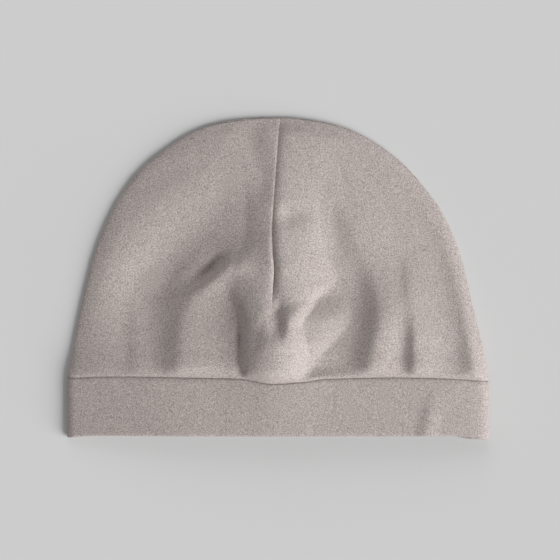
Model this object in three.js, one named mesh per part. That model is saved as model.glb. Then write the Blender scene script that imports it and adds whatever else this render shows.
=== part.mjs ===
// Skull cap of heather jersey, laid flat on its back, as it is put away or photographed from above.
// Millimetres. +X is to the wearer's left, +Y towards the top of the crown, +Z up through the front.
// The origin is at the middle of the underside, on the surface that the cap lies on.
//
// The crown is one bag of single jersey, open at the band. Its back lies flat and its front is puffed
// up by the darts, with one dart seam down the middle. The band is a doubled strip that carries on
// from the crown's lower edge. Both are hollow all the way, so that a head goes in at -Y.

import * as THREE from 'three';
import { mergeVertices } from 'three/addons/utils/BufferGeometryUtils.js';

// Driving dimensions

const CAP_DEPTH = 190.6; // from the fold of the band to the top of the crown
const BAND_DEPTH = 36; // of the folded strip, at its ends
const BAND_HALF_WIDTH = 125; // half of the cap's width, where the band meets the crown
const BAND_TAPER = 1; // how much narrower each side is at the fold
const JERSEY_THICKNESS = 1.2;
const CROWN_WALL = JERSEY_THICKNESS;
const BAND_WALL = 2 * JERSEY_THICKNESS; // the strip is folded in two
const SEAM_GAP = 0.3; // between the crown's edge and the band's
const CROWN_EDGE = 4; // how thick the flattened crown is at its folded sides
const BAND_EDGE = 5.2; // how thick the flattened band is at its folded sides

const FOLD_Y = -CAP_DEPTH / 2;
const TOP_Y = CAP_DEPTH / 2;
const SEAM_Y = FOLD_Y + BAND_DEPTH;

// Half-widths of the crown, by height above the band seam. The last row is the nearly straight top.

const OUTLINE = [
  { rise: 0, left: 125, right: 125 },
  { rise: 15, left: 121.6, right: 122.2 },
  { rise: 30, left: 119, right: 118.6 },
  { rise: 44, left: 116, right: 115.2 },
  { rise: 58, left: 112.8, right: 112.4 },
  { rise: 72, left: 109, right: 108.8 },
  { rise: 87, left: 103.6, right: 103.4 },
  { rise: 101, left: 97, right: 96.2 },
  { rise: 115, left: 88.2, right: 85.8 },
  { rise: 127, left: 77.6, right: 75 },
  { rise: 137, left: 65, right: 62.4 },
  { rise: 145, left: 52.6, right: 49 },
  { rise: 150, left: 40.8, right: 36 },
  { rise: 153.2, left: 26, right: 21 },
  { rise: 154.6, left: 10, right: 8 },
];

// The front's soft puff, above the thickness of its edges

const CROWN_PUFF = 11.5; // over most of the crown
const SEAM_PUFF = 8; // along the band seam, which the doubled strip holds level
const FOLD_PUFF = 6.5; // along the fold of the band
const SEAM_ROLL = 5; // how far above the seam the crown takes to rise to its own puff
const PUFF_SPREAD = 2.6; // higher makes the puff flatter on top and steeper at the sides
const PUFF_FALL = 3; // higher keeps the puff further up before it falls away to the top edge
const FOLD_FALL = 4; // the same for the folds

// The seam of the front dart, from the top edge down to its point

const DART = {
  topX: 1.2,
  pointX: -3.2,
  pointY: -16,
  halfWidth: 2.5,
  depth: 1.2,
  fadeFrom: -20,
  fadeTo: -6,
};

// How far the band seam and the front's fold are pulled out of line in the middle of the front

const SEAM_SAG = { x: -2, depth: 3, width: 26 };
const FOLD_LIFT = { height: 2.2, spread: 6 };

// Folds of the front: each is a soft ridge, or a hollow where its height is negative, that runs
// between two points and fades past both.

const FOLDS = [
  { name: 'dart_point', x1: -1, y1: 18, x2: -5, y2: -38, height: 8.5, width: 15 },
  { name: 'left_lobe', x1: -46, y1: 0, x2: -52, y2: -58, height: 6, width: 9 },
  { name: 'left_shoulder', x1: -36, y1: 16, x2: -28, y2: 22, height: 4, width: 10 },
  { name: 'left_hollow', x1: -70, y1: 8, x2: -68, y2: -44, height: -3.5, width: 9 },
  { name: 'dart_valley', x1: -29, y1: -6, x2: -30, y2: -60, height: -4.5, width: 7 },
  { name: 'right_slope', x1: 38, y1: 6, x2: 40, y2: -56, height: -3, width: 12 },
  { name: 'right_ridge', x1: 60, y1: -4, x2: 64, y2: -58, height: 4, width: 9 },
  { name: 'right_crease', x1: 76, y1: -34, x2: 76, y2: -58, height: -1.5, width: 4 },
  { name: 'seam_push', x1: 8, y1: -48, x2: 24, y2: -30, height: 2.5, width: 9 },
];

// Mesh sizes

const CROWN_ROWS = 24;
const CROWN_ROW_CROWDING = 1.7; // rows lie closer together towards the top
const BAND_ROWS = 4;
const FRONT_COLUMNS = 16; // on each side of the dart seam
const BACK_COLUMNS = 7;
const EDGE_TURN = [0, 30, 60]; // degrees round the folded edge at each side, before it lies flat
const FOLD_TURN = [45, 90, 135]; // degrees round the fold of the band
const TOP_FLATNESS = 0.35; // how much of the edge's thickness is left at the very top
const SAME_POINT = 1e-3; // points nearer than this are one

const JERSEY = { color: 0xa79d99, roughness: 0.95, metalness: 0 };

// Shape of the cap

const lerp = THREE.MathUtils.lerp;
const clamp = THREE.MathUtils.clamp;

// Half-width on one side at a height above the seam, on a smooth curve through the table.
function halfWidth(side, rise) {
  const last = OUTLINE.length - 1;
  let row = 0;
  while (row < last - 1 && OUTLINE[row + 1].rise < rise) {
    row += 1;
  }
  const from = OUTLINE[row];
  const to = OUTLINE[row + 1];
  const before = OUTLINE[Math.max(row - 1, 0)];
  const after = OUTLINE[Math.min(row + 2, last)];
  const span = to.rise - from.rise;
  const slopeFrom = (to[side] - before[side]) / (to.rise - before.rise);
  const slopeTo = (after[side] - from[side]) / (after.rise - from.rise);
  const t = clamp((rise - from.rise) / span, 0, 1);
  const t2 = t * t;
  const t3 = t2 * t;
  return (
    (2 * t3 - 3 * t2 + 1) * from[side] +
    (t3 - 2 * t2 + t) * span * slopeFrom +
    (3 * t2 - 2 * t3) * to[side] +
    (t3 - t2) * span * slopeTo
  );
}

// Height of one fold at a point, with a soft cross-section and soft ends.
function foldHeight(fold, x, y) {
  const dx = fold.x2 - fold.x1;
  const dy = fold.y2 - fold.y1;
  const along = clamp(((x - fold.x1) * dx + (y - fold.y1) * dy) / (dx * dx + dy * dy), 0, 1);
  const away = Math.hypot(x - fold.x1 - along * dx, y - fold.y1 - along * dy);
  return fold.height * Math.exp(-0.5 * (away / fold.width) ** 2);
}

// Where the dart seam runs at a height, carried on straight below its point.
function dartX(y) {
  const down = clamp((TOP_Y - y) / (TOP_Y - DART.pointY), 0, 1);
  return lerp(DART.topX, DART.pointX, down);
}

// The groove of the dart seam, which fades out at the dart's point.
function dartGroove(x, y) {
  const across = Math.max(0, 1 - Math.abs(x - dartX(y)) / DART.halfWidth);
  const fade = THREE.MathUtils.smoothstep(y, DART.fadeFrom, DART.fadeTo);
  return DART.depth * across * fade;
}

// Height of the front's outside above the thickness of the edges, from 0 at the sides.
function frontPuff(x, y, left, right) {
  const share = Math.abs(x) / (x < 0 ? left : right);
  const dome = Math.max(0, 1 - share ** PUFF_SPREAD);
  const above = y - seamY(x, 1);
  if (above <= 0) {
    return dome * lerp(SEAM_PUFF, FOLD_PUFF, clamp(-above / BAND_DEPTH, 0, 1));
  }
  const up = clamp(above / (TOP_Y - SEAM_Y), 0, 1);
  const folds = FOLDS.reduce((sum, fold) => sum + foldHeight(fold, x, y), 0);
  const full = CROWN_PUFF * (1 - up ** PUFF_FALL) + folds * (1 - up ** FOLD_FALL);
  const roll = Math.exp(-above / SEAM_ROLL);
  return Math.max(0, dome * lerp(full, SEAM_PUFF, roll) - dartGroove(x, y));
}

// The band seam sags and the band's fold lifts in the middle of the front only.
function seamY(x, onFront) {
  const away = (x - SEAM_SAG.x) / SEAM_SAG.width;
  return SEAM_Y - onFront * SEAM_SAG.depth * Math.exp(-0.5 * away ** 2);
}

function foldY(x, onFront) {
  const level = 1 - (Math.abs(x) / BAND_HALF_WIDTH) ** FOLD_LIFT.spread;
  return FOLD_Y + onFront * FOLD_LIFT.height * Math.max(0, level);
}

// One point on the round of a folded side: side is -1 at the left and 1 at the right, and facing is 1
// on the front and -1 on the back.
function edgePoint(side, reach, radius, degrees, facing) {
  const angle = THREE.MathUtils.degToRad(degrees);
  return { x: side * (reach - radius * (1 - Math.cos(angle))), turn: facing * Math.sin(angle) };
}

// Evenly spread points of the front, turn 1, or of the back, turn -1.
function spread(from, to, count, turn) {
  return Array.from({ length: count }, (_, i) => ({ x: lerp(from, to, i / (count - 1)), turn }));
}

// One loop round the flattened cap at one height, from the left edge over the front to the right edge
// and back under. inset moves it inwards through the wall. Each point says where it lies across the
// width and how far it is turned from the front, 1, to the back, -1.
function loopPlan(left, right, edge, inset, dart) {
  const radius = edge / 2 - inset;
  const reachLeft = left - inset;
  const reachRight = right - inset;
  const flatLeft = radius - reachLeft;
  const flatRight = reachRight - radius;
  const upEdge = EDGE_TURN;
  const downEdge = EDGE_TURN.slice(1);
  return [
    ...upEdge.map((degrees) => edgePoint(-1, reachLeft, radius, degrees, 1)),
    ...spread(flatLeft, dart - DART.halfWidth, FRONT_COLUMNS, 1),
    { x: dart, turn: 1 },
    ...spread(dart + DART.halfWidth, flatRight, FRONT_COLUMNS, 1),
    ...upEdge.toReversed().map((degrees) => edgePoint(1, reachRight, radius, degrees, 1)),
    ...downEdge.map((degrees) => edgePoint(1, reachRight, radius, degrees, -1)),
    ...spread(flatRight, flatLeft, BACK_COLUMNS, -1),
    ...downEdge.toReversed().map((degrees) => edgePoint(-1, reachLeft, radius, degrees, -1)),
  ];
}

// Height of a loop's point: round at the edges, puffed on the front and flat on the back.
function loopZ(entry, y, edge, inset, left, right, flatten) {
  const middle = edge / 2;
  const puff = entry.turn > 0 ? entry.turn * frontPuff(entry.x, y, left, right) : 0;
  return middle + flatten * (entry.turn * (middle - inset) + puff);
}

// A closed body from a list of loops with the same number of points, each joined to the next. When
// ring is true the last loop joins back to the first. Otherwise each end loop is closed by a fan.

function bodyFromLoops(loops, ring) {
  const size = loops[0].length;
  const points = loops.flat();
  const index = [];
  const joints = ring ? loops.length : loops.length - 1;
  for (let row = 0; row < joints; row += 1) {
    const near = row * size;
    const far = ((row + 1) % loops.length) * size;
    for (let i = 0; i < size; i += 1) {
      const next = (i + 1) % size;
      index.push(near + i, far + i, far + next);
      index.push(near + i, far + next, near + next);
    }
  }
  if (!ring) {
    const lastRow = (loops.length - 1) * size;
    const firstHub = points.length;
    points.push(middleOf(loops[0]), middleOf(loops.at(-1)));
    for (let i = 0; i < size; i += 1) {
      const next = (i + 1) % size;
      index.push(firstHub, i, next);
      index.push(firstHub + 1, lastRow + next, lastRow + i);
    }
  }
  const positions = points.flatMap((point) => [point.x, point.y, point.z]);
  const geometry = new THREE.BufferGeometry();
  geometry.setAttribute('position', new THREE.Float32BufferAttribute(positions, 3));
  geometry.setIndex(index);
  const merged = mergeVertices(geometry, SAME_POINT);
  merged.computeVertexNormals();
  return merged;
}

function middleOf(loop) {
  const box = new THREE.Box3().setFromPoints(loop);
  return box.getCenter(new THREE.Vector3());
}

// Crown: outer loops from the top down to the band seam, then inner loops back up to the top.

function crownLoop(up, inset) {
  const rise = up * (TOP_Y - SEAM_Y);
  const left = halfWidth('left', rise);
  const right = halfWidth('right', rise);
  const top = TOP_Y - inset;
  const roundEnd = clamp(1 - (1 - up) * (TOP_Y - SEAM_Y) / (CROWN_EDGE / 2), 0, 1);
  const flatten = Math.max(TOP_FLATNESS, Math.sqrt(1 - roundEnd ** 2));
  const plan = loopPlan(left, right, CROWN_EDGE, inset, dartX(lerp(SEAM_Y, top, up)));
  return plan.map((entry) => {
    const start = seamY(entry.x, Math.max(0, entry.turn)) + SEAM_GAP / 2;
    const y = lerp(start, top, up);
    return new THREE.Vector3(entry.x, y, loopZ(entry, y, CROWN_EDGE, inset, left, right, flatten));
  });
}

function crownGeometry() {
  const outside = [];
  const inside = [];
  for (let row = 0; row <= CROWN_ROWS; row += 1) {
    const up = 1 - (1 - row / CROWN_ROWS) ** CROWN_ROW_CROWDING;
    outside.unshift(crownLoop(up, 0));
    inside.push(crownLoop(up, CROWN_WALL));
  }
  return bodyFromLoops([...outside, ...inside], false);
}

// Band: outer loops from the seam down to the fold, round the fold, and inner loops back up.

function bandLoop(down, inset, past) {
  const left = BAND_HALF_WIDTH - BAND_TAPER * down;
  const plan = loopPlan(left, left, BAND_EDGE, inset, dartX(DART.pointY));
  return plan.map((entry) => {
    const front = Math.max(0, entry.turn);
    const y = lerp(seamY(entry.x, front) - SEAM_GAP / 2, foldY(entry.x, front) + past, down);
    return new THREE.Vector3(entry.x, y, loopZ(entry, y, BAND_EDGE, inset, left, left, 1));
  });
}

function bandGeometry() {
  const round = BAND_WALL / 2;
  const outside = [];
  const inside = [];
  for (let row = 0; row <= BAND_ROWS; row += 1) {
    outside.push(bandLoop(row / BAND_ROWS, 0, round));
    inside.unshift(bandLoop(row / BAND_ROWS, BAND_WALL, round));
  }
  const fold = FOLD_TURN.map((degrees) => {
    const turn = THREE.MathUtils.degToRad(degrees);
    return bandLoop(1, round * (1 - Math.cos(turn)), round * (1 - Math.sin(turn)));
  });
  return bodyFromLoops([...outside, ...fold, ...inside], true);
}

// Assembly

const cap = new THREE.Group();
cap.name = 'skull_cap';

function addPiece(name, geometry) {
  const piece = new THREE.Mesh(geometry, new THREE.MeshStandardMaterial(JERSEY));
  piece.name = name;
  cap.add(piece);
}

addPiece('crown', crownGeometry());
addPiece('band', bandGeometry());

export default cap;
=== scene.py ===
# %% [markdown]
# # A jersey skull cap lying on its back
#
# The cap has two pieces. The crown is a bag of single jersey with a dart down its middle, and the band is
# a straight strip folded in two along its lower edge and sewn round the crown's mouth. Empty and laid
# down, the bag collapses: its back lies flat on the table, and its front stands up in soft folds. The
# looks of such a thing come from a few millimetres of height, so most of this lesson is about placing
# those folds.
#
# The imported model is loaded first. It fixes the place and size of both pieces, and each piece made here
# stands for one of its nodes.

# %% Load the frame
import math

import bpy
import numpy as np
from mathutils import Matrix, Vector


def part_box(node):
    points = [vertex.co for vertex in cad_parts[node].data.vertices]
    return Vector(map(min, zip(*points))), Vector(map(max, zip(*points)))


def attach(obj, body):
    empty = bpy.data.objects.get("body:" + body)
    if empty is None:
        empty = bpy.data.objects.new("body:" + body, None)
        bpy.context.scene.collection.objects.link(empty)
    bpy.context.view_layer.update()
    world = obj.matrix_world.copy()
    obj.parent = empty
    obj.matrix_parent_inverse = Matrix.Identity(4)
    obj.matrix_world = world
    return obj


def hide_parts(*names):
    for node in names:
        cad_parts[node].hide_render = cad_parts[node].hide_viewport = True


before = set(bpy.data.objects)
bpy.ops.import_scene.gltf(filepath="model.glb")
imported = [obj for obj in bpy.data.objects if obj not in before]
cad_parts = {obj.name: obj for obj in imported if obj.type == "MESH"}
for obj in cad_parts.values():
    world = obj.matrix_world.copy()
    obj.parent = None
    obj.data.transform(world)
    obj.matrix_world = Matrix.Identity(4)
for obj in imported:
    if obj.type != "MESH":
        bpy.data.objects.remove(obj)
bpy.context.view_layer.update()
crown_low, crown_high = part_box("crown")
band_low, band_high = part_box("band")
MM = 0.001
print("the frame's nodes:", list(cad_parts))
print("crown, mm:", [round(v / MM, 1) for v in (*crown_low, *crown_high)])
print("band, mm:", [round(v / MM, 1) for v in (*band_low, *band_high)])

# %% [markdown]
# ## Sizes
#
# Everything is worked out from the two nodes' boxes and a few real sizes. The crown's outline is a short
# table: how far its left and right edges are from the middle, at heights above the band's seam. A curve
# that passes through the rows without swinging past them gives the rest. Straight lines between the rows
# would show as corners in the outline, and a fitted spline could bulge between them.

# %% Sizes in millimetres
CAP_TOP = crown_high[1] / MM
SEAM_Y = band_high[1] / MM
FOLD_Y = band_low[1] / MM
BAND_HALF = band_high[0] / MM
CROWN_RISE = CAP_TOP - SEAM_Y
JERSEY = 1.2

OUTLINE = [
    # rise above the seam, left edge, right edge
    (0, 125, 125), (15, 121.6, 122.2), (30, 119, 118.6), (44, 116, 115.2), (58, 112.8, 112.4),
    (72, 109, 108.8), (87, 103.6, 103.4), (101, 97, 96.2), (115, 88.2, 85.8), (127, 77.6, 75),
    (137, 65, 62.4), (145, 52.6, 49), (150, 40.8, 36), (153.2, 26, 21), (154.6, 10, 8),
]

print("crown above the seam, mm:", round(CROWN_RISE, 1), "and half its width:", BAND_HALF)


# %% Curves and humps
def through(rows, column, at):
    """One column of a table at any place along its first column, smooth and without overshoot."""
    place = np.array([row[0] for row in rows], float)
    value = np.array([row[column] for row in rows], float)
    step = np.diff(place)
    secant = np.diff(value) / step
    slope = np.zeros(len(place))
    slope[0], slope[-1] = secant[0], secant[-1]
    same_way = secant[:-1] * secant[1:] > 0
    mean = 2 * secant[:-1] * secant[1:] / np.where(same_way, secant[:-1] + secant[1:], 1)
    slope[1:-1] = np.where(same_way, mean, 0)
    at = np.clip(at, place[0], place[-1])
    k = np.clip(np.searchsorted(place, at, side="right") - 1, 0, len(step) - 1)
    t = (at - place[k]) / step[k]
    start = (1 + 2 * t) * (1 - t) ** 2 * value[k] + t * (1 - t) ** 2 * step[k] * slope[k]
    end = t * t * (3 - 2 * t) * value[k + 1] - t * t * (1 - t) * step[k] * slope[k + 1]
    return start + end


def ease(t):
    """0 before 0, 1 after 1, and level at both ends."""
    t = np.clip(t, 0, 1)
    return t * t * (3 - 2 * t)


def bump(offset, reach):
    """A soft hump of height 1 that fades over its reach."""
    return np.exp(-0.5 * (offset / reach) ** 2)


halfway = np.array(CROWN_RISE / 2)
print("halfway up, the crown's left edge, mm:", round(float(through(OUTLINE, 1, halfway)), 1))


# %% The front's seam
SEAM_LINE = [
    # x, how far the front's seam is below its ends
    (-125, 0), (-96, -1.1), (-36, -0.4), (-21, 0.1), (-3, 2.8), (14, 1.9), (29, 0.1), (71, -0.8),
    (101, 0), (125, 1.6),
]


def seam_y(x):
    """The front's seam, which sags in the middle under the dart."""
    return SEAM_Y - through(SEAM_LINE, 1, x)


print("the seam sags by", round(SEAM_Y - float(seam_y(np.array(-3.0))), 1), "mm")

# %% [markdown]
# ## The folds
#
# Each fold is a line that runs up the crown from the band. A row of its table gives one station of that
# line: how high above the seam it is, where the line is from the middle, how high the cloth stands there,
# and how far the fold reaches to its left and right. A fold is steep where its reach is short, so one
# number makes the difference between a soft swell and a crease, and a trough or a dent is a fold with its
# height below zero. Most folds fade away softly, but the cloth also lies in a few that stand on a firm
# foot, with a clear line where they start, so those have a table and a profile of their own. A cloth
# simulation would also give folds, but other ones: this cap lay down once, in one way, and a table of
# what the eye sees keeps that way.

# %% The soft folds, in millimetres
SOFT_FOLDS = {
    # rise, x, height, reach to the left, reach to the right
    "whole middle": [
        (-4, -3, 0.8, 22, 17), (12, -3, 2.2, 22, 17), (26, -3, 3.8, 22, 17), (46, 0, 4, 24, 18),
        (69, 2, 4, 24, 20), (80, 2, 3.4, 26, 24), (91, 2, 2.4, 32, 32), (125, 0, 1.6, 40, 44),
        (154, 0, 0.8, 34, 40),
    ],
    "left lobe": [
        (-4, -56.5, 4, 6.5, 18), (11, -56.5, 4.6, 6.5, 18), (22, -56, 4.6, 6, 17),
        (34, -54.5, 4.2, 6, 15), (46, -49.5, 4, 7, 13), (52, -44, 4.4, 7, 11),
        (58, -38.6, 4.8, 5.2, 10.5), (66, -29.4, 5, 5.5, 9), (72, -26.5, 3.2, 5.5, 9),
        (78, -22.5, 1, 6, 12), (86, -18, 0, 8, 12),
    ],
    "pocket above the lobe": [
        (52, -49, 0, 4.5, 3.5), (58, -45, -2, 4.5, 3.5), (64, -39, -5, 4.5, 3.5),
        (70, -34.2, -3.4, 4.5, 3.5), (76, -31, 0, 4.5, 4),
    ],
    "left trough": [
        (-4, -78, 0, 10, 7), (11, -77, -0.3, 10, 7), (22, -76, -0.7, 10, 6), (34, -77, -1.5, 12, 6),
        (42, -77, -2.3, 12, 8), (52, -74, -4.4, 12, 9), (61, -71, -5, 12, 9.5), (69, -65, -4, 12, 10),
        (79, -58, -2.4, 13, 12), (91, -46, -1.4, 16, 14), (106, -30, -0.8, 16, 12),
        (118, -22, -0.4, 14, 12), (135, -18, 0, 12, 10),
    ],
    "left rib": [
        (-4, -82, 1.2, 4, 8), (22, -82, 1.2, 4, 8), (40, -83, 0.6, 4, 8), (52, -82, 0, 6, 8),
    ],
    "left shoulder": [
        (-4, -104, 0.8, 9, 12), (20, -104, 1, 9, 12), (40, -103, 1, 9, 12), (60, -100, 1, 10, 12),
        (80, -90, 1.2, 12, 14), (106, -68, 1.5, 12, 18), (125, -46, 0.5, 12, 12),
    ],
    "right ridge": [
        (-4, 55, 4.5, 7, 11), (11, 56.3, 5.2, 6.2, 10), (22, 58.2, 5.8, 6, 12), (34, 60.8, 6.2, 6, 13),
        (46, 61, 4.8, 6.2, 16), (58, 57.8, 3.2, 5.5, 18), (69, 53, 2, 6, 18), (91, 46, 1, 6, 14),
        (108, 40, 0, 8, 14),
    ],
    "right crease": [
        (-4, 81, 4.4, 3, 9.5), (22, 81, 4.2, 3, 9.5), (32, 81, 2.8, 3.5, 10), (44, 80, 1.3, 4, 10),
        (56, 78, 1.2, 2.8, 8), (66, 77, 0.6, 2.8, 8), (74, 77, 0, 3, 8),
    ],
    "right rim": [
        (-4, 118, 3.2, 6, 4), (28, 116.5, 2.8, 5.5, 4), (69, 108, 1.6, 6, 4), (94, 99, 0.8, 6, 4),
        (117, 82, 0, 6, 4),
    ],
    "line of the valley": [
        (-4, -20.8, -3, 1.8, 1.5), (4, -20.8, -4.2, 1.8, 1.5), (10, -20.7, -4, 1.8, 1.5),
        (22, -20.8, -3.6, 1.8, 1.5), (32, -20.2, -2.4, 1.8, 1.5), (40, -21.2, -1.6, 1.8, 1.5),
        (50, -22.6, 0, 2, 2),
    ],
    "dent by the seam": [
        (-4, 19, -2.6, 8, 12), (5, 20, -2.6, 8, 12), (14, 22, 0, 8, 12),
    ],
    "dent right of the dart": [
        (88, 6, 0, 5, 8), (96, 7, -1.8, 5, 8), (105, 8, 0, 5, 8),
    ],
    "right dent": [
        (66, 34, 0, 4, 6), (80, 34, -1.2, 6, 5), (92, 33, -1.2, 5, 5), (106, 30, 0, 5, 5),
    ],
    "dent by the top": [
        (100, -11, 0, 5, 6), (118, -10, -1.4, 6, 6), (142, -15, -1.6, 5.5, 6),
        (154, -18, -0.5, 5.5, 6),
    ],
}
print(len(SOFT_FOLDS), "soft folds")

# %% The firm folds and the band's wrinkle, in millimetres
FIRM_FOLDS = {
    # rise, x, height, reach to the left, reach to the right
    "puff at the dart's point": [
        (-4, -8.6, 6.6, 15.4, 24), (14, -6.4, 7, 17.2, 24), (22, -3.3, 7.2, 19.2, 20),
        (34, 1, 7, 24, 14), (46, 6, 6.2, 30.5, 17), (58, 6, 4.8, 33, 29), (69, 4, 4, 29, 28),
        (79, 4, 3.4, 24, 23), (91, 3, 2.6, 21, 22), (106, 2, 1.6, 20, 24), (123, 1, 1, 22, 30),
        (141, 0, 0.6, 24, 40), (154, 0, 0.2, 24, 40),
    ],
    "slanting fold": [
        (-4, 7, 0.8, 24, 12), (11, 9, 1.8, 25, 14), (22, 15, 3.8, 27, 18), (34, 20, 4.2, 28, 23),
        (41, 27, 2.2, 24, 16), (48, 33, 0, 12, 10),
    ],
    "lip left of the dart": [
        (16, -15.5, 0, 6.5, 18), (28, -16, 1.5, 6.5, 18), (38, -17.5, 3, 6.5, 18),
        (46, -19.5, 2.8, 7.5, 20), (54, -22, 1.6, 8, 20), (64, -25, 0, 8, 20),
    ],
}
BAND_FOLDS = {
    # rise (the band is below the seam), x, height, reach to the left, reach to the right
    "wrinkle at the right": [
        (-36, 87, 1, 3, 4), (-24, 89, 1.2, 3, 4), (-12, 91, 0.4, 3, 5), (-6, 92, 0, 3, 5),
    ],
}
print(len(FIRM_FOLDS), "firm folds")

# %% From the tables to heights
# how sharply a firm fold turns at its foot, how steeply it comes down there, and where it is cut off
FIRMNESS = 28
FIRM_FOOT = {"left": 2.6, "right": 2.5}
FIRM_END = 1.6
# how far a fold fades past its last station, and how much higher all folds are than their tables say
FOLD_FADE = 15
FOLD_LIFT = 1.15


def firm(offset, reach):
    """A hump of height 1 with a round top and a firm foot at the end of its reach."""
    share = np.clip(np.abs(offset) / reach, 0, FIRM_END)
    foot = np.where(offset < 0, FIRM_FOOT["left"], FIRM_FOOT["right"])
    return np.log1p(np.exp(FIRMNESS * (1 - share ** foot))) / FIRMNESS


def fold_height(folds, profile, x, rise):
    """The height that all the folds of a table add."""
    total = np.zeros_like(x)
    for rows in folds.values():
        line = through(rows, 1, rise)
        reach = np.where(x < line, through(rows, 3, rise), through(rows, 4, rise))
        fade = ease((rows[-1][0] + FOLD_FADE - rise) / FOLD_FADE)
        total += FOLD_LIFT * fade * through(rows, 2, rise) * profile(x - line, reach)
    return total


print("a firm fold halfway to its foot:", firm(np.array([-0.5, 0.5]), 1.0).round(2))

# %% [markdown]
# ## The dart
#
# A dart takes a wedge of cloth out of a flat piece so that it can close over a head. Here it is sewn from
# the top edge to a point in the middle of the front, where the last stitches pull the cloth into a small
# dimple. On the outside a dart shows as a fine crease. Its seam holds the cloth up in a low ridge, a
# little higher on the right, and the left side rolls over into the crease, so one side catches the light
# and the other is dark. A dark line in the material would be simpler, but it would stay dark under any
# light. The crease needs points close together, so the columns of the mesh follow its line and crowd
# towards it.

# %% The dart's line, crease, ridge and dimple, in millimetres
DART_LINE = [
    # rise, x
    (48, -3.2), (64, -2.1), (76, -3), (87, -3.2), (117, -1.4), (135, -0.2), (154.6, 1.2),
]
DART_DEPTH = [
    # rise, depth of the crease
    (43, 0), (49, 3), (58, 5.4), (68, 6.2), (84, 5.6), (100, 3.8), (112, 2.4), (124, 2.2), (154, 2.4),
]
DART_RIDGE = [
    # rise, height left of the dart, height right of it, reach to the left, reach to the right
    (46, 0, 0, 12, 18), (58, 2, 3, 12, 18), (67, 4.2, 4.8, 13, 18), (76, 3.7, 5, 12, 16),
    (88, 3.4, 5.6, 13, 14), (100, 3.2, 5, 15, 14), (112, 2.6, 3.8, 22, 16), (130, 2.2, 3, 30, 22),
    (146, 1.6, 2.4, 34, 26), (154, 1, 1.8, 34, 26),
]
CREASE_WALL = {"left": 0.3, "right": 2}
ROLLED_SIDE = {"share": 0.26, "reach": 2}
DIMPLE = {"x": 0.8, "rise": 31.5, "depth": 5.4, "left": 4.4, "right": 2.4, "down": 4.2, "up": 7}

print("dart, mm long:", round(CROWN_RISE - DART_DEPTH[0][0], 1))


# %% The dart's heights
def dart_x(rise):
    """Where the dart is across the cap."""
    return through(DART_LINE, 1, rise)


def dart_ridge(x, rise):
    """The low ridge along the dart, where its seam holds the cloth up like the ridge of a tent."""
    offset = x - dart_x(rise)
    height = np.where(offset < 0, through(DART_RIDGE, 1, rise), through(DART_RIDGE, 2, rise))
    reach = np.where(offset < 0, through(DART_RIDGE, 3, rise), through(DART_RIDGE, 4, rise))
    return height * np.exp(-np.abs(offset) / reach)


def dart_crease(x, rise):
    """How far the crease goes down. Its left side starts lower, by the ridge's step, and rolls into it."""
    offset = x - dart_x(rise)
    left = offset < 0
    step = np.where(left, through(DART_RIDGE, 2, rise) - through(DART_RIDGE, 1, rise), 0)
    wall = np.where(left, CREASE_WALL["left"], CREASE_WALL["right"])
    rolled = np.where(left, ROLLED_SIDE["share"], 0)
    steep = (1 - rolled) * np.exp(-np.abs(offset) / wall)
    round_side = rolled * np.exp(-np.abs(offset) / ROLLED_SIDE["reach"])
    return (through(DART_DEPTH, 1, rise) - step) * (steep + round_side)


def dimple(x, rise):
    """How far the dimple at the dart's point goes down."""
    across = np.where(x < DIMPLE["x"], DIMPLE["left"], DIMPLE["right"])
    along = np.where(rise < DIMPLE["rise"], DIMPLE["down"], DIMPLE["up"])
    return DIMPLE["depth"] * bump(x - DIMPLE["x"], across) * bump(rise - DIMPLE["rise"], along)


print("dimple, mm deep:", DIMPLE["depth"])

# %% [markdown]
# ## The bag's outline and back
#
# Real cloth has no edge at the sides and the top of the cap: it turns over there, from the back to the
# front, in a small round fold. How high the cloth lies near that fold depends on how far it is from the
# outline, which suits the curved top as well as the straight sides. So the outline is set out as close
# points, and the nearest one gives that distance. The mesh follows the middle of the cloth, and a
# Solidify modifier gives it its thickness afterwards, so the outline is half a thickness inside the cap's
# own.

# %% The outline's points and the folded edge
OUTLINE_POINTS = {"side": 480, "top": 20, "band": 40}
EDGE = {"height": 1.5, "under": 1.3, "over": 4.5, "crown": 1.3, "band": 2.8, "change": 20}


def half_width(side, rise):
    """How far the left (-1) or right (1) edge is from the middle, at a height above the seam."""
    rise = np.asarray(rise, float)
    return np.where(rise > 0, through(OUTLINE, 1 if side < 0 else 2, rise), BAND_HALF) - JERSEY / 2


def outline_points():
    """The edge of the whole bag as points: the crown's left and right side, its top, and the band's ends."""
    rise = CROWN_RISE * np.sin(np.linspace(0, math.pi / 2, OUTLINE_POINTS["side"]))
    y = rise + SEAM_Y - JERSEY / 2 * (rise > 0)
    left = np.stack([-half_width(-1, rise), y], axis=1)
    right = np.stack([half_width(1, rise), y], axis=1)
    top = np.linspace(left[-1], right[-1], OUTLINE_POINTS["top"])
    band_y = np.linspace(FOLD_Y, SEAM_Y, OUTLINE_POINTS["band"])
    band_end = BAND_HALF - JERSEY / 2
    ends = [[side * band_end, place] for side in (-1, 1) for place in band_y]
    return np.concatenate([left, right, top, np.array(ends)])


def inside_depth(x, y):
    """How far each point is inside the outline."""
    edge = outline_points()
    return np.array([np.min(np.hypot(edge[:, 0] - a, edge[:, 1] - b)) for a, b in zip(x, y)])


def round_edge(depth, reach, height):
    """The rise of a quarter of an ellipse, from the outline inwards."""
    t = np.clip(depth / reach, 0, 1)
    return height * np.sqrt(1 - (1 - t) ** 2)


def back_height(depth):
    """The back lies on the table, half a thickness up, and turns up to the folded edge."""
    return EDGE["height"] - round_edge(depth, EDGE["under"], EDGE["height"] - JERSEY / 2)


print(len(outline_points()), "points in the outline; the edge is", EDGE["height"], "mm high")

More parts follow.
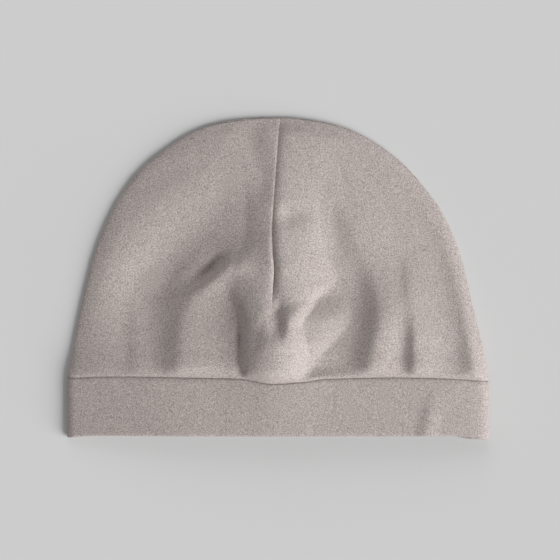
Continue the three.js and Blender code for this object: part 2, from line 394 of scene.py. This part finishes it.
# %% [markdown]
# ## The bag's front
#
# From the folded edge the crown's front swells a little towards its middle, and the folds and the dart
# are added to that swell. The band is stiffer than the crown, being double. It has a plain swell of its
# own, highest under the big puff, so that the sewn edges stay together there. The crown comes down to the
# band in a short round roll, as the seam holds it. Along the seam the stitches pull the cloth in, push
# its edge up just above, and gather it in small puckers. Last, the front is held clear of the back,
# because the bag is hollow. Each of these could be a modifier of its own, but one sum of heights is
# easier to read and to correct.

# %% The front's swell and seam, in millimetres
PUFF = {"height": 5.5, "reach": 125, "above band, left": 35, "above band, right": 80}
BAND_SWELL = [
    # x, height at the seam, height at the fold
    (-125, 0, 0), (-110, 2.6, 3), (-90, 5.8, 6.4), (-60, 9.6, 10.4), (-32, 11.2, 12),
    (-18, 12.8, 12.4), (-4, 14, 12.8), (12, 13.4, 12.6), (30, 11.8, 12), (60, 10.8, 11.2), (100, 9, 9),
    (118, 6.8, 6.6), (125, 4.2, 4),
]
SEAM_PULL = [
    # x, how far the seam pulls the cloth in, height of the rolled edge above it
    (-125, 0.3, 0), (-90, 0.2, 0.1), (-70, 0.4, 0.1), (-35, 0.4, 0), (-20, 0.1, 0), (4, 0, 0),
    (20, 0.4, 0), (60, 0.3, 0.2), (85, 0.4, 0.5), (125, 0.4, 0.4),
]
SEAM_ROLL = 2.8
PULL_REACH = 1.1
ROLLED_EDGE = {"above": 2.6, "reach": 1.1}
PUCKERS = {"height": 0.1, "starts": 2, "fades": 5, "long": 7.3, "short": 4.1, "uneven": 0.04}
LEAST_HEIGHT = {"height": 2.1, "softness": 0.6, "at the edge": 0.001}
# how far inside the outline the folds, the dart and the seam's relief are full
FULL_INSIDE = {"folds": 9, "dart": 6, "seam": 4}
# a high power keeps the folds up to just below the top edge
TOP_CLOSING = 40

print("swell in the crown's middle, mm:", PUFF["height"])


# %% The front's heights
def pucker(x, above):
    """Small pleats where the crown is gathered by its seam."""
    wave = np.sin(2 * math.pi * x / PUCKERS["long"])
    wave += np.sin(2 * math.pi * x / PUCKERS["short"] + PUCKERS["uneven"] * x)
    fade = np.exp(-np.maximum(above, 0) / PUCKERS["fades"]) * ease(above / PUCKERS["starts"])
    return PUCKERS["height"] * wave * fade


def crown_height(x, above, rise, depth):
    """The crown's front: a low swell that takes over from the band's, with the folds on it."""
    swell = 1 - (1 - np.clip(depth / PUFF["reach"], 0, 1)) ** 2
    folds = fold_height(SOFT_FOLDS, bump, x, rise) + fold_height(FIRM_FOLDS, firm, x, rise)
    folds += dart_ridge(x, rise)
    at_seam = through(BAND_SWELL, 1, x)
    to_right = ease(0.5 + x / (2 * BAND_HALF))
    settling = PUFF["above band, left"] * (1 - to_right) + PUFF["above band, right"] * to_right
    full = at_seam + (PUFF["height"] * swell - at_seam) * ease(above / settling)
    closing = 1 - np.clip(above / CROWN_RISE, 0, 1) ** TOP_CLOSING
    return (full + folds * ease(depth / FULL_INSIDE["folds"])) * closing + pucker(x, above)


def band_height(x, above, rise):
    """The band's front, from its seam down to its fold."""
    at_seam, at_fold = through(BAND_SWELL, 1, x), through(BAND_SWELL, 2, x)
    swell = at_seam + (at_fold - at_seam) * np.clip(-above / (SEAM_Y - FOLD_Y), 0, 1)
    return swell + fold_height(BAND_FOLDS, bump, x, rise)


def seam_relief(x, above):
    """The dip that the stitches pull at the seam, and the rolled edge just above it."""
    pull = through(SEAM_PULL, 1, x) * bump(above, PULL_REACH)
    rolled = through(SEAM_PULL, 2, x) * bump(above - ROLLED_EDGE["above"], ROLLED_EDGE["reach"])
    return rolled - pull


def keep_open(height, depth):
    """Hold the front softly at a least height, which comes down to the edge's own."""
    inwards = depth / EDGE["over"]
    least = LEAST_HEIGHT["height"] * ease(inwards) + EDGE["height"] * (1 - ease(inwards))
    softness = LEAST_HEIGHT["softness"] * np.clip(inwards, LEAST_HEIGHT["at the edge"], 1)
    return least + softness * np.logaddexp(0, (height - least) / softness)


def front_height(x, y, depth):
    """The height of the front, crown and band together."""
    above, rise = y - seam_y(x), y - SEAM_Y
    crown = crown_height(x, above, rise, depth)
    crown += (through(BAND_SWELL, 1, x) - crown) * bump(np.maximum(above, 0), SEAM_ROLL)
    crown -= (dart_crease(x, rise) + dimple(x, rise)) * np.clip(depth / FULL_INSIDE["dart"], 0, 1)
    height = np.where(above > 0, crown, band_height(x, above, rise))
    height += seam_relief(x, above) * np.clip(depth / FULL_INSIDE["seam"], 0, 1)
    edge = EDGE["band"] + (EDGE["crown"] - EDGE["band"]) * ease(above / EDGE["change"])
    height += EDGE["height"] + round_edge(depth, EDGE["over"], edge)
    return keep_open(height, depth)


puff_top = front_height(np.array([4.0]), np.array([SEAM_Y + 22]), np.array([100.0]))[0]
print("near the top of the puff the cloth is", round(puff_top, 1), "mm high")

# %% [markdown]
# ## The crown
#
# A grid is a good start for cloth: it is a flat piece, with rows and columns like the knit itself. Its
# columns go once round the bag, and its rows go up from the band. Every point is then carried to its
# place, as a sculptor would with a grab brush, only in code. The two sides of the grid meet at the left
# edge and its last row closes the top. There the front's and the back's points are given exactly one
# place, and merging the doubles sews them. Extra rows below the seam turn the raw edge in, so the mouth
# is finished inside too.

# %% Helpers for a piece of cloth
SEWING_DISTANCE = 0.02


def only(piece):
    """Make a piece the only selected and active one."""
    bpy.ops.object.select_all(action="DESELECT")
    piece.select_set(True)
    bpy.context.view_layer.objects.active = piece


def cloth_grid(name, columns, rows):
    """A flat grid, with the column and row of each of its points."""
    bpy.ops.object.select_all(action="DESELECT")
    bpy.ops.mesh.primitive_grid_add(x_subdivisions=columns, y_subdivisions=rows, size=2, calc_uvs=True)
    piece = bpy.context.object
    piece.name = name
    piece.data.name = name
    flat = np.empty(len(piece.data.vertices) * 3)
    piece.data.vertices.foreach_get("co", flat)
    flat = flat.reshape(-1, 3)
    column = np.rint((flat[:, 0] + 1) / 2 * columns).astype(int)
    row = np.rint((flat[:, 1] + 1) / 2 * rows).astype(int)
    return piece, column, row


def carry(piece, x, y, z):
    """Move every point to its place, given in millimetres."""
    places = np.stack([x, y, z], axis=1) * MM
    piece.data.vertices.foreach_set("co", places.astype(np.float32).ravel())
    piece.data.update()


def sew(piece):
    """Merge the points that have come together, and turn the faces outwards."""
    only(piece)
    bpy.ops.object.mode_set(mode="EDIT")
    bpy.ops.mesh.select_all(action="SELECT")
    bpy.ops.mesh.remove_doubles(threshold=SEWING_DISTANCE * MM)
    bpy.ops.mesh.normals_make_consistent(inside=False)
    bpy.ops.object.mode_set(mode="OBJECT")
    print(piece.name, "has", len(piece.data.vertices), "points once sewn")


def thicken(piece, thickness):
    """Give a sheet its thickness, half to each side."""
    only(piece)
    wall = piece.modifiers.new("cloth thickness", "SOLIDIFY")
    wall.thickness = thickness * MM
    wall.offset = 0
    bpy.ops.object.modifier_apply(modifier=wall.name)
    bpy.ops.object.shade_smooth()
    piece.data.calc_loop_triangles()
    print(piece.name, len(piece.data.loop_triangles), "triangles")


# %% Where the columns go, and how high each point lies
FRONT_COLUMNS = 200
# how strongly the columns crowd towards the dart and the sides, and the rows towards the seam and the top
CROWDING = {"columns": 0.72, "rows": 0.5}
# an inner layer stays this many insets away from the side folds, and closes over this length
INNER_LAYER = {"side room": 1.45, "closing": 1.5}


def crowd(t, share):
    """Spread 0..1 with points closer together at both ends."""
    return t + share * (ease(t) - t)


def column_x(column, rise):
    """Where a column lies across the cap. The front's columns run right, the back's run left again."""
    across = np.where(column <= FRONT_COLUMNS, column, 2 * FRONT_COLUMNS - column) / (FRONT_COLUMNS / 2)
    middle = dart_x(rise)
    left_share = crowd(1 - np.minimum(across, 1), CROWDING["columns"])
    right_share = crowd(np.maximum(across, 1) - 1, CROWDING["columns"])
    left = middle - (middle + half_width(-1, rise)) * left_share
    right = middle + (half_width(1, rise) - middle) * right_share
    return np.where(across < 1, left, right)


def at_left_edge(column):
    """True for the grid's first and last columns, which meet at the cap's left edge."""
    return (column == 0) | (column == 2 * FRONT_COLUMNS)


def lay(x, y, front, inset, sewn):
    """Where points of the bag lie, inset millimetres inside its outer layer. Sewn ones keep to the edge."""
    side_room = INNER_LAYER["side room"] * inset
    x = x * (1 - side_room / half_width(1, y - SEAM_Y))
    depth = inside_depth(x, y)
    upper, lower = front_height(x, y, depth), back_height(depth)
    middle, gap = (upper + lower) / 2, (upper - lower) / 2
    closing = np.where(inset > 0, np.clip((depth - side_room) / INNER_LAYER["closing"], 0, 1), 1)
    from_middle = np.maximum(gap - inset, 0) * closing
    return x, y, np.where(sewn, EDGE["height"], middle + np.where(front, from_middle, -from_middle))


print("columns round the bag:", 2 * FRONT_COLUMNS)


# %% The cloth's own UV map
def lay_out_cloth(piece, column, row, places):
    """Write flat cloth lengths, in metres, into the piece's UV map, so that a pattern follows the cloth."""
    order = np.lexsort((column, row))
    grid = np.stack(places, axis=1)[order].reshape(row.max() + 1, column.max() + 1, 3) * MM
    across = np.linalg.norm(np.diff(grid, axis=1), axis=2).cumsum(axis=1)
    upwards = np.linalg.norm(np.diff(grid, axis=0), axis=2).cumsum(axis=0)
    across = np.pad(across, ((0, 0), (1, 0)))
    upwards = np.pad(upwards, ((1, 0), (0, 0)))
    across -= across[:, FRONT_COLUMNS // 2:FRONT_COLUMNS // 2 + 1]
    flat = np.empty((len(row), 2))
    flat[order] = np.stack([across, upwards], axis=2).reshape(-1, 2)
    corners = np.empty(len(piece.data.loops), int)
    piece.data.loops.foreach_get("vertex_index", corners)
    piece.data.uv_layers.active.data.foreach_set("uv", flat[corners].astype(np.float32).ravel())
    print(piece.name, "is", round(across[:, -1].mean() - across[:, 0].mean(), 3), "m round on average")


# %% Make the crown
CROWN_ROWS = 100
TURNED_ROWS = 6
TURN = {"radius": 0.75, "length": 5, "steps": 3}
# the rows follow the sagging seam up to this rise
SAG_REACH = 30
# both pieces press this far into the seam, so that no light comes through between the turned edges
SEAM_PRESS = 0.15


def crown_path(row):
    """For each row, how far it is above the seam's edge and how far inside the cloth."""
    below = TURNED_ROWS - row
    angle = math.pi * np.clip(below / TURN["steps"], 0, 1)
    along = TURN["length"] * np.clip((below - TURN["steps"]) / (TURNED_ROWS - TURN["steps"]), 0, 1)
    return along - TURN["radius"] * np.sin(angle), TURN["radius"] * (1 - np.cos(angle))


def make_crown():
    """One grid, carried round the bag, turned in at the seam and sewn along its left edge and top."""
    piece, column, row = cloth_grid("jersey_crown", 2 * FRONT_COLUMNS, CROWN_ROWS + TURNED_ROWS)
    rise = CROWN_RISE * crowd(np.clip((row - TURNED_ROWS) / CROWN_ROWS, 0, 1), CROWDING["rows"])
    x = column_x(column, rise)
    front = column <= FRONT_COLUMNS
    left_edge = at_left_edge(column)
    turned, inset = crown_path(row)
    edge = TURN["radius"] + JERSEY / 2 - SEAM_PRESS
    sag = np.where(front & ~left_edge, SEAM_Y - seam_y(x), 0) * (1 - ease(rise / SAG_REACH))
    down_share = 1 - rise / CROWN_RISE
    y = SEAM_Y + rise + edge * down_share - JERSEY / 2 * (1 - down_share) - sag + turned
    places = lay(x, y, front, inset, left_edge | (row == row.max()))
    carry(piece, *places)
    lay_out_cloth(piece, column, row, places)
    sew(piece)
    return piece


crown = make_crown()
thicken(crown, JERSEY)

# %% [markdown]
# ## The band
#
# The band is one strip of jersey, folded in two along the cap's lower edge. Its two raw edges lie
# together in the seam, against the crown's turned edge. Modelled as it is sewn, it is a flat sleeve: down
# the outside, round the fold, up the inside, and closed in the seam. A single thick wall would look the
# same from the front, but at the mouth of the cap the fold between its two layers would be missing.

# %% Make the band
BAND_JERSEY = 1.1
LAYER_SPACING = 1.35
BAND_ROWS = {"outer": 26, "turn": 5, "inner": 12}
FOLD_LINE = [
    # x, the front's lower edge, the back's lower edge
    (-124.4, -94.8, -94.8), (-112, -93.7, -93.4), (-95, -93.4, -92.8), (100, -93.4, -92.8),
    (108, -93.3, -94.2), (115, -94, -95.7), (124.4, -95.9, -95.9),
]


def band_path(row, top, bottom):
    """Down the outer layer, round the fold, up the inner layer, and round again in the seam."""
    outer, turn, inner = BAND_ROWS["outer"], BAND_ROWS["turn"], BAND_ROWS["inner"]
    radius = LAYER_SPACING / 2
    down = np.clip(row / outer, 0, 1)
    fold = math.pi * np.clip((row - outer) / turn, 0, 1)
    up = np.clip((row - outer - turn) / inner, 0, 1)
    close = math.pi * np.clip((row - outer - turn - inner) / turn, 0, 1)
    place = top + (bottom - top) * (down - up)
    place += radius * (np.sin(close) - np.sin(fold))
    return place, radius * (1 - np.cos(fold)) - radius * (1 - np.cos(close))


def make_band():
    """One grid, carried round the cap as a flat sleeve and sewn along its left edge and in the seam."""
    rows = BAND_ROWS["outer"] + 2 * BAND_ROWS["turn"] + BAND_ROWS["inner"]
    piece, column, row = cloth_grid("jersey_band", 2 * FRONT_COLUMNS, rows)
    x = column_x(column, np.zeros(len(column)))
    front = column <= FRONT_COLUMNS
    left_edge = at_left_edge(column)
    edge = LAYER_SPACING / 2 + JERSEY / 2
    top = np.where(front & ~left_edge, seam_y(x), SEAM_Y) - edge + SEAM_PRESS
    bottom = np.where(front, through(FOLD_LINE, 1, x), through(FOLD_LINE, 2, x)) + edge
    y, inset = band_path(row, top, bottom)
    places = lay(x, y, front, inset, left_edge)
    carry(piece, *places)
    lay_out_cloth(piece, column, row, places)
    sew(piece)
    return piece


band = make_band()
thicken(band, BAND_JERSEY)

# %% [markdown]
# ## The jersey
#
# Heather jersey is a plain knit of yarn spun from fibres dyed lighter and darker before spinning. From a
# metre away the knit itself is lost, and what is left is a fine speckle on a warm grey, dull all over,
# with a little light caught in the fuzz at grazing angles. A picture of such cloth would repeat, and its
# scale would be a guess. So the colour is a noise at the size of a stitch, the fuzz is a low sheen, and
# the knit is only a faint relief that follows the cloth's own UV map.

# %% Colours and a node helper
JERSEY_COLOURS = {
    # the band's copy of the same jersey is painted a shade darker: painted shade on the band
    "crown": {"dark fibre": "#8B827F", "light fibre": "#CCC1BD"},
    "band": {"dark fibre": "#877E7B", "light fibre": "#C6BBB7"},
}


def linear(hex_colour):
    """An sRGB hex colour as linear RGBA."""
    parts = [int(hex_colour[i:i + 2], 16) / 255 for i in (1, 3, 5)]
    return [c / 12.92 if c <= 0.04045 else ((c + 0.055) / 1.055) ** 2.4 for c in parts] + [1]


def add(tree, kind, settings=None, values=None):
    """A node with its settings, and with values or links on its inputs."""
    node = tree.nodes.new(kind)
    for key, value in (settings or {}).items():
        setattr(node, key, value)
    for key, value in (values or {}).items():
        if isinstance(value, bpy.types.NodeSocket):
            tree.links.new(value, node.inputs[key])
        else:
            node.inputs[key].default_value = value
    return node


light_fibre = linear(JERSEY_COLOURS["crown"]["light fibre"])
print("the crown's light fibre, linear:", [round(v, 3) for v in light_fibre])

# %% The jersey's material
# Sizes in millimetres. A stitch of fine jersey is about 0.9 wide and 0.7 high. Single fibres are too fine to
# show, so the speckle is drawn as coarse as the tufts of them that the eye can tell apart.
STITCH = {"width": 0.9, "height": 0.7, "slant": 1.2, "relief": 0.25}
SPECKLE = {"size": 0.68, "detail": 1.5, "roughness": 0.6, "dark to": 0.3, "light from": 0.7, "fuzz": 0.25}
# Knitted and brushed a little: it scatters light evenly and has next to no gloss, but a soft light edge.
JERSEY_SURFACE = {"Roughness": 0.95, "Specular IOR Level": 0.2, "Sheen Weight": 0.12, "Sheen Roughness": 0.5}


def heather_speckle(tree, place, colours):
    """A noise of two fibre colours, in the cap's own millimetres."""
    scale = 1 / (SPECKLE["size"] * MM)
    speckle = add(tree, "ShaderNodeTexNoise", {"noise_dimensions": "3D"},
                  {"Vector": place.outputs["Object"], "Scale": scale, "Detail": SPECKLE["detail"],
                   "Roughness": SPECKLE["roughness"]})
    ramp = add(tree, "ShaderNodeValToRGB", None, {"Fac": speckle.outputs["Fac"]})
    dark, light = ramp.color_ramp.elements
    dark.position, light.position = SPECKLE["dark to"], SPECKLE["light from"]
    dark.color, light.color = linear(colours["dark fibre"]), linear(colours["light fibre"])
    return speckle, ramp


def knit_relief(tree, place, speckle):
    """Columns of slanting stitches along the cloth's own lengths, with the fuzz on top."""
    cloth = add(tree, "ShaderNodeSeparateXYZ", None, {"Vector": place.outputs["UV"]})
    wale = add(tree, "ShaderNodeMath", {"operation": "PINGPONG"},
               {0: cloth.outputs["X"], 1: STITCH["width"] / 2 * MM})
    slant = add(tree, "ShaderNodeMath", {"operation": "MULTIPLY_ADD"},
                {0: wale.outputs[0], 1: STITCH["slant"], 2: cloth.outputs["Y"]})
    course = add(tree, "ShaderNodeMath", {"operation": "PINGPONG"},
                 {0: slant.outputs[0], 1: STITCH["height"] / 2 * MM})
    relief = add(tree, "ShaderNodeMath", {"operation": "ADD"}, {0: wale.outputs[0], 1: course.outputs[0]})
    fuzz = add(tree, "ShaderNodeMath", {"operation": "MULTIPLY_ADD"},
               {0: speckle.outputs["Fac"], 1: SPECKLE["fuzz"] * MM, 2: relief.outputs[0]})
    return add(tree, "ShaderNodeBump", None,
               {"Strength": STITCH["relief"], "Distance": 1, "Height": fuzz.outputs[0]})


def heather_jersey(name, colours):
    """The whole material: speckled colour, faint knit, dull surface."""
    material = bpy.data.materials.new(name)
    material.use_nodes = True
    tree = material.node_tree
    shader = tree.nodes["Principled BSDF"]
    place = add(tree, "ShaderNodeTexCoord")
    speckle, ramp = heather_speckle(tree, place, colours)
    relief = knit_relief(tree, place, speckle)
    tree.links.new(ramp.outputs["Color"], shader.inputs["Base Color"])
    tree.links.new(relief.outputs["Normal"], shader.inputs["Normal"])
    for key, value in JERSEY_SURFACE.items():
        shader.inputs[key].default_value = value
    return material


# the band takes the darker copy, so its colours carry painted shade
for piece, place in ((crown, "crown"), (band, "band")):
    piece.data.materials.clear()
    piece.data.materials.append(heather_jersey("heather jersey, knitted, " + place, JERSEY_COLOURS[place]))
    print(piece.name, "is made of", piece.data.materials[0].name)

# %% [markdown]
# ## The table
#
# The cap lies on a plain pale table, which is the floor of the picture and not part of the cap. A bare
# plane is enough for it. It lies a hair below the cap's back, because two surfaces at one height would
# flicker.

# %% The table
TABLE = {"size": 6, "gap": 0.2, "colour": "#CCCCCC"}
# Laminate pressed with a matt face: an even pale grey with no gloss to mirror the cap.
LAMINATE_SURFACE = {"Roughness": 0.9, "Specular IOR Level": 0.1}


def make_table():
    """A flat square, a little below the cap."""
    bpy.ops.object.select_all(action="DESELECT")
    bpy.ops.mesh.primitive_plane_add(size=TABLE["size"], location=(0, 0, -TABLE["gap"] * MM))
    table = bpy.context.object
    table.name = "table"
    material = bpy.data.materials.new("matt white laminate")
    material.use_nodes = True
    shader = material.node_tree.nodes["Principled BSDF"]
    shader.inputs["Base Color"].default_value = linear(TABLE["colour"])
    for key, value in LAMINATE_SURFACE.items():
        shader.inputs[key].default_value = value
    table.data.materials.append(material)
    for polygon in table.data.polygons:
        polygon.use_smooth = False
    bpy.ops.object.transform_apply(location=True)
    return table


make_table()
print("table, m:", TABLE["size"])

# %% [markdown]
# ## The light
#
# Folds this low show only because the light comes from one side: a broad soft light low at the right,
# towards the band. A weak light from the top of the cap and one from the left keep the far sides of the
# folds from going black, and a white world fills the rest evenly. Suns with a wide angle do this with
# four numbers each. A light from straight above would flatten the folds, and area lights would have to
# stand far off to be as even.

# %% The light
FILL = 0.2
LIGHTS = [
    # name, azimuth, elevation, spread in degrees, share of the table's light
    ("key light", -28, 27, 50, 0.65),
    ("back light", 100, 30, 50, 0.1),
    ("left light", 175, 38, 80, 0.05),
]

for name, azimuth, elevation, spread, share in LIGHTS:
    a, e = math.radians(azimuth), math.radians(elevation)
    sun = bpy.data.lights.new(name, "SUN")
    sun.angle = math.radians(spread)
    sun.energy = share * math.pi / math.sin(e)
    light = bpy.data.objects.new(name, sun)
    bpy.context.scene.collection.objects.link(light)
    towards = Vector((math.cos(e) * math.cos(a), math.cos(e) * math.sin(a), math.sin(e)))
    light.location = towards
    light.rotation_euler = towards.to_track_quat("Z", "Y").to_euler()
    print(name, "strength:", round(sun.energy, 2))

world = bpy.data.worlds.new("even fill")
world.use_nodes = True
sky = world.node_tree.nodes["Background"]
sky.inputs["Color"].default_value = (1, 1, 1, 1)
sky.inputs["Strength"].default_value = FILL
bpy.context.scene.world = world
bpy.context.scene.view_settings.view_transform = "Standard"

# %% [markdown]
# ## The camera
#
# The cap is seen from straight above. The camera stands well back with a long lens, as for a product
# picture, so that the raised front isn't drawn larger than the edges. The lens follows from the width
# that the picture shows and the distance, which is easier to set than an angle.

# %% The camera
VIEW = {"width": 332.6, "x": 1.5, "y": -1.2, "distance": 1600}

camera_data = bpy.data.cameras.new("camera")
camera_data.lens = camera_data.sensor_width * VIEW["distance"] / VIEW["width"]
camera = bpy.data.objects.new("camera", camera_data)
bpy.context.scene.collection.objects.link(camera)
camera.location = (VIEW["x"] * MM, VIEW["y"] * MM, VIEW["distance"] * MM)
camera.rotation_euler = (0, 0, 0)
bpy.context.scene.camera = camera
print("lens, mm:", round(camera_data.lens, 1))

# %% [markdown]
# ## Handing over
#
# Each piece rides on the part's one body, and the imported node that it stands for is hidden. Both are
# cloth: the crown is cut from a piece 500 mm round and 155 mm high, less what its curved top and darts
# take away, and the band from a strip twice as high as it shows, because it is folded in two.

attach(crown, "root")
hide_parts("crown")
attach(band, "root")
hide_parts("band")
print("pieces handed over:", crown.name, "and", band.name)
